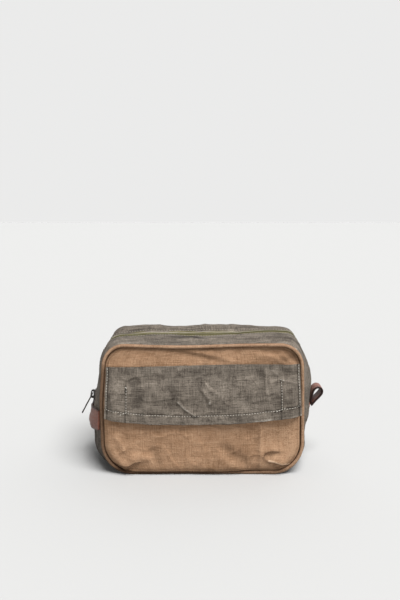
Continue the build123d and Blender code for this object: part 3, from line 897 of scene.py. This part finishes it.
front = panel("panel_front", -1, 0.6, upper_surface, TAN, PANEL_T, canvas_wear(0.7, 11), columns=200,
              offset=(0.2, 0.9), grime=front_grime, step=1.5)
place(front, "shell", ["front_panel"])
back = panel("panel_back", 1, 0.6, back_surface, TAN, PANEL_T, canvas_wear(0.8, 31), columns=200,
             offset=(1.3, 0.4), grime=seam_grime, step=1.5)
place(back, None, ["back_panel_lower", "back_panel_upper"], MOUTH)
LINING_INSET = 4.0


def lining_surface(x, z):
    return HALF_DEPTH - 0.3


inner = panel("lining_panel_front", -1, LINING_INSET, lining_surface, LINING, LINING_T)
place(inner, "shell", ["lining_front"])
inner_aft = panel("lining_panel_back", 1, LINING_INSET, lining_surface, LINING, LINING_T)
place(inner_aft, None, ["lining_back_lower", "lining_back_upper"], MOUTH)


def ring_path(inset, y, lift=0.0, wobble=0.0):
    """A line round the seam with its outward directions; lift raises its lowest run."""
    points = rounded([(x, max(z, lift)) for x, z in SEAM], SEAM_R, inset)
    normals = edge_normals(points)
    path = []
    for p in points:
        dy = wobble * fbm(p.x, y, p.y, 40)
        path.append(Vector((p.x, y + dy, seam_height(p.x, p.y, y))))
    return path, [Vector((n.x, 0, n.y)) for n in normals]


def piping(name, side, nodes, body, hinge=None):
    path, out = ring_path(PIPING_INSET, side * PIPING_Y, PIPING_R - 0.9, 0.5)
    across = [Vector((0, side, 0))] * len(path)

    def radius(i):
        p = path[i]
        return PIPING_R * (1 + 0.05 * fbm(p.x, p.y, p.z, 14) + 0.03 * math.sin(i * 2.1))

    def wear(p, row):
        crest = smooth(PIPING_Y + 0.8, PIPING_Y + 1.9, abs(p.y))
        return min(1, 0.45 * crest + 0.4 * max(0, fbm(p.x, p.y, p.z, 26)) + 0.2 * ridge(p.x, p.y, p.z, 12))

    # Painted shade: on the piping's side against the panel, low along the front, most to the left, and the
    # flap's shadow beside it on the left.
    def grime(p, row):
        inner_side_shade = 0.75 * smooth(PIPING_Y - 0.2, PIPING_Y - 1.6, abs(p.y))
        low = mix(0.85, 0.35, smooth(0, 70, p.x)) * smooth(12, 3, p.z) * (p.y < 0)
        left = smooth(mix(-84, -119, smooth(20, 60, p.z)), -124, p.x)
        flap_shadow = 0.66 * left * smooth(146, 128, p.z) * (p.y < 0)
        return inner_side_shade + low + flap_shadow
    made = tube(name, path, out, across, radius, PIPE_TAN, wear=wear, grime=grime)
    return place(made, body, nodes, hinge)


piping("piping_fore", -1, ["piping_front"], "shell")
piping("piping_aft", 1, ["piping_back_lower", "piping_back_upper"], None, MOUTH)


def binding(name, side, nodes, body, hinge=None):
    path, out = ring_path(BINDING_INSET, side * BINDING_Y)
    across = [Vector((0, 1, 0))] * len(path)
    made = tube(name, path, out, across, lambda i: BINDING_R, BINDING, steps=12, squash=0.3)
    return place(made, body, nodes, hinge)


binding("binding_fore", -1, ["binding_front"], "shell")
binding("binding_aft", 1, ["binding_back_lower", "binding_back_upper"], None, MOUTH)


# --- front pocket -----------------------------------------
POCKET_INSET = 3.7
LEFT_DART = [(-111, 13.6), (-101, 11.6), (-93, 12.2), (-84, 16.6), (-77, 17.6)]
RIGHT_DART = [(108, 11.2), (97, 13.2), (88, 16.4), (81, 17.6)]
RIGHT_DIMPLE = [(74, 21.5), (77, 27.5), (84, 30.2), (94, 29.6)]
INNER_EDGE = [(72, 64), (71, 36), (71, 10)]
LOW_HOLLOW = [(27, 33), (38, 25), (52, 17)]
LEFT_HOLLOW = [(-62, 30), (-55, 16)]
LEFT_RIDGE = [(-108, 48), (-98, 32)]
POCKET_CREASES = [(3.4, LEFT_DART, 1.0, 8), (-2.9, RIGHT_DART, 1.0, 8), (2.6, RIGHT_DIMPLE, 1.4, 8)]
POCKET_FOLDS = [
    (1.8, [(-87, 23), (-77, 25), (-67, 22)], 4.5),
    (1.6, INNER_EDGE, 2.6),
    (-2.6, LOW_HOLLOW, 7),
    (1.5, [(20, 24), (34, 15), (46, 9)], 6),
    (-2.0, LEFT_HOLLOW, 6),
    (1.3, LEFT_RIDGE, 4),
    (-1.3, [(60, 60), (62, 40)], 6),
]
# Pale rubbed lines on the darts' ridges and folds, which also paint their highlights.
POCKET_RUBS_AND_HIGHLIGHTS = [
    (2.2, [(108, 12.6), (97, 14.6), (88, 17.8), (82, 18.8)], 1.1),
    (0.16, INNER_EDGE, 2.6),
    (0.5, [(-92, 14), (-84, 18), (-77, 19)], 1.5),
    (0.35, LEFT_RIDGE, 3),
]
# Painted shadows along the darts' creases and painted shade in the pocket's dimple and hollows.
POCKET_SHADE = [
    (0.9, LEFT_DART, 0.7),
    (0.5, [(-111, 13.6), (-118, 17)], 0.8),
    (0.55, [(x, z - 1.2) for x, z in RIGHT_DART], 0.8),
    (0.4, RIGHT_DIMPLE, 1.1),
    (0.28, LOW_HOLLOW, 7),
    (0.22, LEFT_HOLLOW, 5),
]


def pocket_surface(x, z):
    d = edge_distance(x, z, POCKET_INSET, open_top=True)
    near = mix(11, 17, smooth(40, 100, x))
    rise = math.sin(math.pi / 2 * min(1, max(0, d) / near)) ** 0.75
    free = smooth(1, 9, d) * smooth(98, 70, z)
    folds = creased(x, z, POCKET_CREASES) + folded(x, z, POCKET_FOLDS)
    cloth_noise = fbm(x, 0, z, 44) * 1.5 + ridge(x * 0.8, 4, z, 26) * 0.7
    return PANEL_FACE + 0.2 + 8.3 * rise + (1.15 * folds + 1.2 * cloth_noise) * free


def pocket_shift(x, z):
    """How the pocket's cloth rolls down over the lower piping, and out on the left."""
    d = edge_distance(x, z, POCKET_INSET, open_top=True)
    proud = smooth(1.2, 4.5, d)
    down = mix(3.9, 0.6, smooth(10, 85, x)) * bump(z, 7.5, 8) * smooth(-112, -92, x) * proud
    out = 1.4 * smooth(-104, -122, x) * smooth(14, 40, z)
    return Vector((-out, 0, -down))


# Rubbed cloth and painted highlights on the pocket's ridges, random rubbing, and paler towards the right.
def pocket_wear(p, row):
    rub = 0.55 * max(0, fbm(p.x, 5, p.z, 34)) + 0.3 * ridge(p.x, 7, p.z, 17)
    return folded(p.x, p.z, POCKET_RUBS_AND_HIGHLIGHTS) + rub * 0.8 + 0.32 * smooth(55, 85, p.x)


# Painted shade: along the pocket's rim, a fine dark line just inside it, in its creases and hollows, and
# darker towards the bottom.
def pocket_grime(p, row):
    d = edge_distance(p.x, p.z, POCKET_INSET, open_top=True)
    low = 0.3 * smooth(20, 4, p.z) * (0.6 + 0.6 * fbm(p.x, 3, p.z, 30))
    return 0.8 * smooth(1.8, 0.3, d) + 0.25 * bump(d, 4.2, 0.8) + folded(p.x, p.z, POCKET_SHADE) + low


pocket = panel("pocket_front", -1, POCKET_INSET, pocket_surface, TAN, POCKET_T, pocket_wear,
               z_range=(POCKET_INSET, POCKET_TOP), columns=250, offset=(0.5, 0.1), grime=pocket_grime,
               shift=pocket_shift, step=1.0)
place(pocket, "shell", ["pocket_panel"])


HEM_H, HEM_HALF_W = 12, 112
HEM_PROUD = 0.6
hem_rows = [
    [Vector((x, -pocket_surface(x, z) - HEM_PROUD, z)) for x in even_steps(-HEM_HALF_W, HEM_HALF_W, 2.5)]
    for z in even_steps(POCKET_TOP - HEM_H, POCKET_TOP, 1.6)
]
hem = cloth("pocket_band", hem_rows, TAN, HEM_PROUD, wear=lambda p, row: 0.3)
place(hem, "shell", ["pocket_hem"])


# --- flap -------------------------------------------------
FLAP_HINGE = ("shell", "flap", (0, 0, 0.1335), (0, 0, 0.116))


def flap_half(z):
    return mix(122.2, 121.2, smooth(70, 133, z))


def flap_top(x):
    return FLAP_TOP + 0.4 + 3.6 * smooth(-120, 60, x)


def flap_low(x):
    """Lower edge: lowest left of the middle, rising to both sides, most to the right."""
    return 65.9 + 6.0 * (abs(min(x + 25, 0)) / 98) ** 2.0 + 10.4 * (max(x + 25, 0) / 148) ** 2.0


def hem_up(x):
    """Height of the hem's stitches over the lower edge."""
    return 9.0 + 2.0 * (x / 120) ** 2


FLAP_ARC = [(4, 123), (2.2, 117), (9, 109.5), (17, 104.6)]
FLAP_DIAG = [(-31, 92.3), (-22, 84), (-10, 76)]
FLAP_MIDDLE = [(0, 107), (6, 99), (9, 91)]
UPRIGHT_RIDGE = [(77.7, 131), (78.5, 104)]
UPRIGHT_HOLLOW = [(70, 128), (71, 106)]
RIGHT_RIDGE = [(98, 118), (108, 116.5), (119, 114)]
STITCH_HOLLOW = [(-86, 112), (-80, 100), (-84, 88)]
BROAD_HOLLOW = [(-40, 112), (-34, 100), (-36, 90)]
FLAP_CREASES = [(-1.8, FLAP_ARC, 1.0, 8), (0.5, FLAP_DIAG, 1.2, 8)]
FLAP_FOLDS = [
    (1.2, FLAP_DIAG, 2.2),
    (1.8, FLAP_MIDDLE, 3.0),
    (1.6, UPRIGHT_RIDGE, 2.2),
    (-1.6, UPRIGHT_HOLLOW, 5),
    (1.5, [(-94, 118), (-86, 124), (-78, 121)], 3.0),
    (-1.8, STITCH_HOLLOW, 6),
    (1.4, RIGHT_RIDGE, 1.8),
    (1.0, [(104, 96), (112, 98)], 2.5),
    (1.4, [(-118, 104), (-112, 90), (-110, 82)], 2.5),
    (-1.6, BROAD_HOLLOW, 7),
    (-1.2, [(40, 100), (52, 92)], 8),
]
FLAP_SCUFFED = [(0.75, FLAP_ARC, 1.1), (0.75, FLAP_MIDDLE, 2.6)]
FLAP_RUBBED = [(0.9, FLAP_DIAG, 1.5), (0.4, UPRIGHT_RIDGE, 1.6), (0.4, RIGHT_RIDGE, 1.4)]
# Painted shade beside the top of the left upright stitches and in the flap's hollows.
FLAP_SHADE = [
    (0.8, [(-96, 111), (-95, 105)], 1.3),
    (0.35, STITCH_HOLLOW, 6),
    (0.3, BROAD_HOLLOW, 7),
    (0.25, UPRIGHT_HOLLOW, 4),
]
STITCH_ROWS = ((-94.9, 109.0), (97.4, 118.0))     # the two upright rows: place and top end
HEM_ROLL = 1.3               # radius of the turned hem's fold
HEM_TURN = ((30, 0), (60, 0), (90, 0), (135, 0), (180, 0), (180, 4), (180, 8.5))  # degrees, then mm up


def flap_surface(x, z):
    """Depth of the flap's outer face: down from the panel, out over the pocket, then hanging."""
    out = max(mix(63.2, 72.3, smooth(131, 100, z)), upper_surface(x, z) + 1.7)
    side = smooth(1, 12, flap_half(z) - abs(x))
    from_hem = z - flap_low(x)
    folds = creased(x, z, FLAP_CREASES) + folded(x, z, FLAP_FOLDS)
    for seam_x, top_z in STITCH_ROWS:
        if 76 < z:
            held = smooth(top_z + 1, top_z - 3, z)
            folds += (0.35 * bump(x, seam_x + 3, 2.2) - 0.8 * bump(x, seam_x, 1.5)) * held
    rough = fbm(x, 20, z, 38) * 1.6 + ridge(x, 22, z, 24) * 0.8 + fbm(x, 7, z, 8) * 0.32
    hem = hem_up(x)
    hem_bulge = 1.3 * smooth(hem + 0.4, hem - 1.4, from_hem) - 0.8 * bump(from_hem, hem, 1.2)
    hem_bulge += 1.5 * smooth(26, 2, from_hem) * side
    pucker = 0.4 * math.sin(x * 0.95 + 2 * fbm(x, 1, 0, 25)) * bump(from_hem, hem - 2.5, 4)
    edge = -0.5 * bump(flap_half(z) - abs(x), 3.4, 1.2)
    relief = 1.3 * folds + 1.2 * rough + 1.0
    relief = relief if relief > 0 else 0.4 * math.tanh(relief)
    tuck = 2.6 * smooth(10, 0, flap_half(z) - abs(x)) * smooth(130, 112, z)
    return out - tuck + relief * side * smooth(137, 122, z) + hem_bulge + pucker + edge


def flap_wear(p, row):
    from_hem = p.z - flap_low(p.x)
    patchy = 0.5 + fbm(p.x, 40, p.z, 11)
    bright = 0.45 * bump(from_hem, 0, 1.6) + 0.5 * bump(from_hem, hem_up(p.x), 1.1) * max(0, patchy)
    bright += 0.4 * bump(flap_half(p.z) - abs(p.x), 0, 1.6) * max(0, patchy)
    bright += folded(p.x, p.z, FLAP_SCUFFED) * max(0, patchy) + folded(p.x, p.z, FLAP_RUBBED)
    rub = 0.5 * max(0, fbm(p.x, 25, p.z, 30)) + 0.3 * ridge(p.x, 27, p.z, 16)
    return bright + rub * 0.9


# Painted shadows of the hem's and sides' stitches and beside the upright stitch rows, painted shade in the
# hollows, and dirt in soft clouds.
def flap_grime(p, row):
    from_hem = p.z - flap_low(p.x)
    above_hem_shade = 0.4 * bump(from_hem, hem_up(p.x) + 1.1, 0.7)
    patchy = 0.5 + 0.8 * fbm(p.x, 70, p.z, 14)
    lines = above_hem_shade + patchy * bump(from_hem, hem_up(p.x) - 1.0, 1.0)
    lines += 0.7 * bump(flap_half(p.z) - abs(p.x), 3.2, 0.9)
    for seam_x, top_z in STITCH_ROWS:
        if p.z < top_z + 1:
            lines += 0.75 * bump(p.x, seam_x - 0.9, 0.8)
    cloud = 0.36 * max(0, fbm(p.x, 60, p.z, 28) - 0.05)
    return lines + folded(p.x, p.z, FLAP_SHADE) + cloud


def flap_sheet():
    columns, lines = 230, 64
    rows = []
    for t in (k / lines for k in range(lines + 1)):
        row = []
        for k in range(columns + 1):
            s = k / columns * 2 - 1
            z_guess = mix(flap_top(s * 120), flap_low(s * 122), t)
            x = s * flap_half(z_guess)
            z = mix(flap_top(x), flap_low(x), t)
            row.append(Vector((x, -flap_surface(x, z), z)))
        rows.append(row)
    last = rows[-1]
    for angle, up in HEM_TURN:
        a = math.radians(angle)
        turn = Vector((0, HEM_ROLL * (1 - math.cos(a)), up - HEM_ROLL * math.sin(a)))
        rows.append([p + turn for p in last])
    return rows


flap = cloth("flap_front", flap_sheet()[::-1], GREY, FLAP_T, wear=flap_wear, grime=flap_grime,
             offset=(3.1, 2.2))
place(flap, None, ["pocket_flap"], FLAP_HINGE)


def flap_path(points):
    return [(Vector((x, -flap_surface(x, z), z)), Vector((0, -1, 0))) for x, z in points]


def hem_height(x):
    return flap_low(x) + hem_up(x)


paths = [flap_path([(x, hem_height(x)) for x in even_steps(-120.5, 121, 2)])]
for side in (-1, 1):
    heights = even_steps(flap_low(side * 120) + hem_up(120), flap_top(side * 118) - 1, 2)
    paths.append(flap_path([(side * (flap_half(z) - 2.0), z) for z in heights]))
for seam_x, top_z in STITCH_ROWS:
    foot = hem_height(seam_x)
    paths.append(flap_path([(seam_x, z) for z in even_steps(foot + 1, top_z, 2)]))
    paths.append(flap_path([(seam_x - 2.5, top_z + 1.2), (seam_x + 2.5, top_z + 0.2)]))
    paths.append(flap_path([(seam_x - 8, foot - 2), (seam_x + 4, foot + 2.5)]))
flap_thread = stitches("flap_stitches", paths, THREAD, pitch=3.4, length=2.3)
place(flap_thread, None, (), FLAP_HINGE)


# --- leather strap, loop and anchor -----------------------
def strip(name, path, out, width_dir, width, thick, mat):
    """A leather strip: rounded rectangular section swept along a path, edges darker by wear."""
    outline = []
    r = thick * 0.42
    for cx, cz, start in ((1, 1, 0), (-1, 1, 90), (-1, -1, 180), (1, -1, 270)):
        arc = [math.radians(start + k * 30) for k in range(4)]
        x, z = cx * (thick / 2 - r), cz * (width / 2 - r)
        corner = [(x + r * math.cos(a), z + r * math.sin(a)) for a in arc]
        flat = (cx * thick / 2, cz * (width / 2 - thick))
        outline += [flat, *corner] if start in (0, 180) else [*corner, flat]
    rows = [[p + out[i] * a + width_dir[i] * b for i, p in enumerate(path)] for a, b in outline]
    rows.append(rows[0])

    def wear(p, row):
        a, b = outline[row % len(outline)]
        return 1.0 if abs(b) > width / 2 - thick * 0.6 else 0.0
    return welded(cloth(name, rows, mat, 0, wear=wear), capped=True)


STRAP_PROFILE = [147.6, 149.2, 150.4, 149.8, 148.0, 147.4, 147.6]    # at mid depth, from bottom to top
STRAP_END_X, STRAP_END_Y = 131.0, 61.8
STRAP_MID_Z, STRAP_END_Z = 56.6, 66.3
STRAP_HALF_W = 12.3
STRAP_LINES = 25


def side_strap():
    """The strap over the left end: soft leather that bows out, droops and curls at mid depth."""
    rows = []
    for k in range(STRAP_LINES):
        u = 2 * k / (STRAP_LINES - 1) - 1
        place_in = (u + 1) / 2 * (len(STRAP_PROFILE) - 1)
        low = min(int(place_in), len(STRAP_PROFILE) - 2)
        mid_x = mix(STRAP_PROFILE[low], STRAP_PROFILE[low + 1], smooth(0, 1, place_in - low))
        row = []
        for j in range(61):
            v = j / 30 - 1
            x = -mix(mid_x, STRAP_END_X, abs(v) ** 2.15) - 0.4 * fbm(k, j, 0, 11)
            droop = abs(v) ** mix(1.7, 0.75, smooth(-0.6, 1, u))
            z = mix(STRAP_MID_Z, STRAP_END_Z, droop) + STRAP_HALF_W * u + 0.4 * fbm(j, 5, 0, 12)
            row.append(Vector((x, STRAP_END_Y * v, z)))
        rows.append(row)

    def wear(p, row):
        rim = min(row, STRAP_LINES - 1 - row)
        return 0.9 if rim == 0 else 0.35 * (rim == 1)
    return cloth("strap_side", rows, LEATHER, 2.4, wear=wear, flip=True)


place(side_strap(), "shell", ["side_strap"])


def curve_through(points, steps):
    """A smooth line through points (Catmull-Rom), steps places to each span."""
    ends = [points[0] * 2 - points[1], *points, points[-1] * 2 - points[-2]]
    found = []
    for a, b, c, d in zip(ends, ends[1:], ends[2:], ends[3:]):
        for k in range(steps):
            t = k / steps
            found.append(0.5 * (2 * b + (c - a) * t + (2 * a - 5 * b + 4 * c - d) * t ** 2
                                + (3 * b - a - 3 * c + d) * t ** 3))
    found.append(points[-1])
    return found


LOOP_LINE = [(143.4, 68.9), (148.2, 74.6), (154.2, 80.6), (157.9, 85.9), (157.0, 90.6), (152.6, 92.6),
             (148.0, 90.4), (145.4, 85.4), (144.0, 79.0), (143.3, 72.2)]


LOOP_W = 21
LOOP_T = 2.6
LOOP_BEND = ("shell", "loop", (0.1434, 0, 0.0690), (0.149, 0, 0.079))


def leather_loop():
    """The folded loop: out along its underside, round the tip and back to the root."""
    path = curve_through([Vector((x, 0, z)) for x, z in LOOP_LINE], 6)
    out = []
    for i in range(len(path)):
        d = (path[min(i + 1, len(path) - 1)] - path[max(i - 1, 0)]).normalized()
        out.append(Vector((d.z, 0, -d.x)))
    across = [Vector((0, 1, 0))] * len(path)
    return strip("loop_leather", path, out, across, LOOP_W, LOOP_T, LEATHER)


place(leather_loop(), None, ["leather_loop"], LOOP_BEND)

PATCH_LIFT = 1.9             # over the gusset's outer face
PATCH_PLACES = [i for i in range(RING) if MID_RING[i].x > 100 and 61 < MID_RING[i].y < 75]
patch = gusset_sheet("loop_patch", PATCH_PLACES, even_steps(-10, 10, 2), LEATHER, 1.7,
                     lambda i: -PATCH_LIFT)
place(patch, "shell", ["loop_anchor"])

# --- CAD pieces that keep their own shape -----------------
KEPT_NODES = {"base_board": BOARD}
for name in ("slider_body", "slider_bail", "pull_tab", "zipper_stop_left", "zipper_stop_right"):
    KEPT_NODES[name] = METAL
for name, mat in KEPT_NODES.items():
    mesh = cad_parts[name].data
    mesh.materials.clear()
    mesh.materials.append(mat)

# --- floor, light and camera ------------------------------
FLOOR_HALF = 6.0             # metres
floor_mesh = bpy.data.meshes.new("floor")
floor_corners = [(x * FLOOR_HALF, y * FLOOR_HALF, 0) for x, y in ((-1, -1), (1, -1), (1, 1), (-1, 1))]
floor_mesh.from_pydata(floor_corners, [], [(0, 1, 2, 3)])
floor = linked("floor", floor_mesh)
floor_mat, _, floor_shader = new_material("floor_paint", 1.0, specular=0.0)
floor_shader.inputs["Base Color"].default_value = (0.436, 0.436, 0.432, 1)
floor_mesh.materials.append(floor_mat)

HORIZON_GLOW = 0.83          # brightness at the horizon; overhead it is dimmer, most to the left
world = bpy.data.worlds.new("studio")
world.use_nodes = True
sky = world.node_tree
direction = node(sky, "ShaderNodeTexCoord").outputs["Generated"]
split = node(sky, "ShaderNodeSeparateXYZ")
sky.links.new(direction, split.inputs[0])
above = stretched(sky, split.outputs["Z"], 0.28, 0.50)
sideways = stretched(sky, split.outputs["X"], -0.6, 0.3, 0.06, 0.34)
glow = stretched(sky, above, 0, 1, HORIZON_GLOW, sideways)
backdrop = sky.nodes["Background"]
backdrop.inputs["Color"].default_value = (1.0, 1.0, 0.995, 1)
sky.links.new(glow, backdrop.inputs["Strength"])
bpy.context.scene.world = world


def soft_light(name, energy, spread, direction):
    """A broad distant light; spread is its angular size in degrees."""
    data = bpy.data.lights.new(name, "SUN")
    data.energy = energy
    data.angle = math.radians(spread)
    light = linked(name, data)
    light.rotation_mode = "QUATERNION"
    light.rotation_quaternion = Vector(direction).to_track_quat("-Z", "Y")


soft_light("softbox", 5.2, 36, (-0.42, 0.80, -1.55))
soft_light("rear_fill", 1.1, 90, (-0.35, -1.0, -0.85))
bpy.context.scene.view_settings.view_transform = "Standard"

camera_data = bpy.data.cameras.new("camera")
camera_data.lens = 42.5
camera_data.sensor_width = 36
camera_data.shift_y = -0.1900
camera = linked("camera", camera_data)
camera.location = (-0.0037, -0.946, 0.359)
camera.rotation_euler = (math.radians(90), 0, 0)
bpy.context.scene.camera = camera
